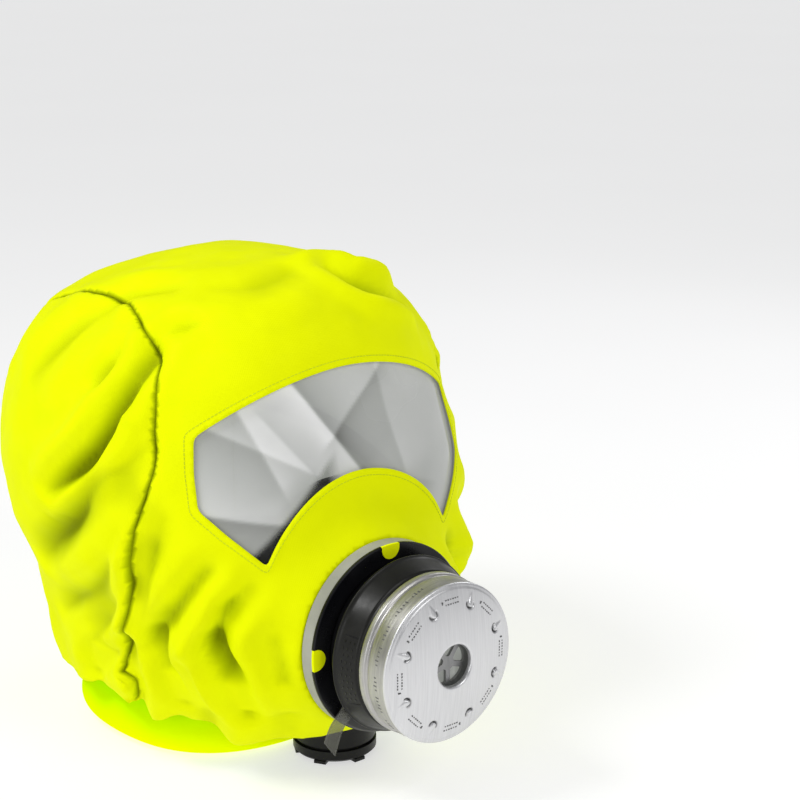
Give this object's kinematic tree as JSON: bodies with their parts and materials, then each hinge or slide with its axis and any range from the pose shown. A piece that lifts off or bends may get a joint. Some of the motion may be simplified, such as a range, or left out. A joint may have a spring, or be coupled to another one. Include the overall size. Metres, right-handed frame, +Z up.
{
  "type": "smoke hood",
  "caption": "Escape smoke hood: bright textile hood with clear visor, rubber half mask inside, screw-in filter in front and an exhalation valve under the chin.",
  "frame": {"origin": "on the floor, under the middle of the object's box", "axes": "the wearer looks along -Y, +X is across the face towards the wearer's left, +Z is up"},
  "size_m": [0.2861, 0.3676, 0.315],
  "materials": {
    "hood_fabric": "coated textile, matt",
    "cape_fabric": "soft elastic textile, matt",
    "visor_film": "clear film",
    "neck_rubber": "matt elastomer",
    "mask_rubber": "satin silicone rubber",
    "port_plastic": "fine moulded texture",
    "ring_metal": "satin",
    "clamp_plastic": "satin moulded",
    "latch_plastic": "satin moulded",
    "strap_tape": "thin tape",
    "valve_plastic": "satin moulded",
    "valve_rubber": "soft silicone",
    "band_elastic": "woven elastic",
    "fitting_plastic": "moulded",
    "band_metal": "satin",
    "gasket_rubber": "matt",
    "filter_plastic": "moulded, fine texture",
    "filter_metal": "brushed",
    "plate_metal": "brushed",
    "filter_paper": "pleated",
    "screen_plastic": "moulded grid",
    "granules_dry": "granules",
    "granules_catalyst": "granules",
    "fleece": "fleece"
  },
  "bodies": {
    "hood": {"hood_centre_panel": "hood_fabric", "hood_left_panel": "hood_fabric", "hood_right_panel": "hood_fabric", "visor_window": "visor_film", "neck_cape": "cape_fabric", "neck_seal": "neck_rubber", "half_mask": "mask_rubber", "connector_body": "port_plastic", "seal_ring": "ring_metal", "clamp_ring": "clamp_plastic", "fabric_ears": "hood_fabric", "clamp_latch": "latch_plastic", "pull_strap": "strap_tape", "inhalation_valve_seat": "valve_plastic", "exhalation_valve_housing": "valve_plastic", "exhalation_valve_seat": "valve_plastic", "exhalation_valve_cap": "valve_plastic", "upper_head_band": "band_elastic", "lower_head_band": "band_elastic", "band_clips": "fitting_plastic", "band_sliders": "fitting_plastic", "mask_clamp_band": "band_metal"},
    "gasket": {"filter_gasket": "gasket_rubber"},
    "filter": {"filter_base": "filter_plastic", "filter_can": "filter_metal", "filter_face_plate": "plate_metal", "inlet_grille": "plate_metal", "particle_filter": "filter_paper", "bed_screens": "screen_plastic", "drying_bed": "granules_dry", "catalyst_bed": "granules_catalyst", "dust_fleece": "fleece"},
    "inhalation_flap": {"inhalation_valve_flap": "valve_rubber"},
    "exhalation_flap": {"exhalation_valve_flap": "valve_rubber"}
  },
  "joints": [
    {"name": "filter_advance", "type": "slide", "parent": "hood", "child": "gasket", "axis": [0, -1, 0], "range_m": [0, 0.0121]},
    {"name": "filter_turn", "type": "hinge", "parent": "gasket", "child": "filter", "pos_m": [0, -0.15, 0.0945], "axis": [0, -1, 0], "range_deg": [0, 540]},
    {"name": "inhalation_flap_lift", "type": "slide", "parent": "hood", "child": "inhalation_flap", "axis": [0, 1, 0], "range_m": [0, 0.002], "stiffness_N_per_m": 60, "springref_m": -0.001},
    {"name": "exhalation_flap_lift", "type": "slide", "parent": "hood", "child": "exhalation_flap", "axis": [0, 0, -1], "range_m": [0, 0.003], "stiffness_N_per_m": 60, "springref_m": -0.001}
  ],
  "couplings": [
    {"joint": "filter_advance", "follows": "filter_turn", "m_per_rad": 0.0012732}
  ]
}
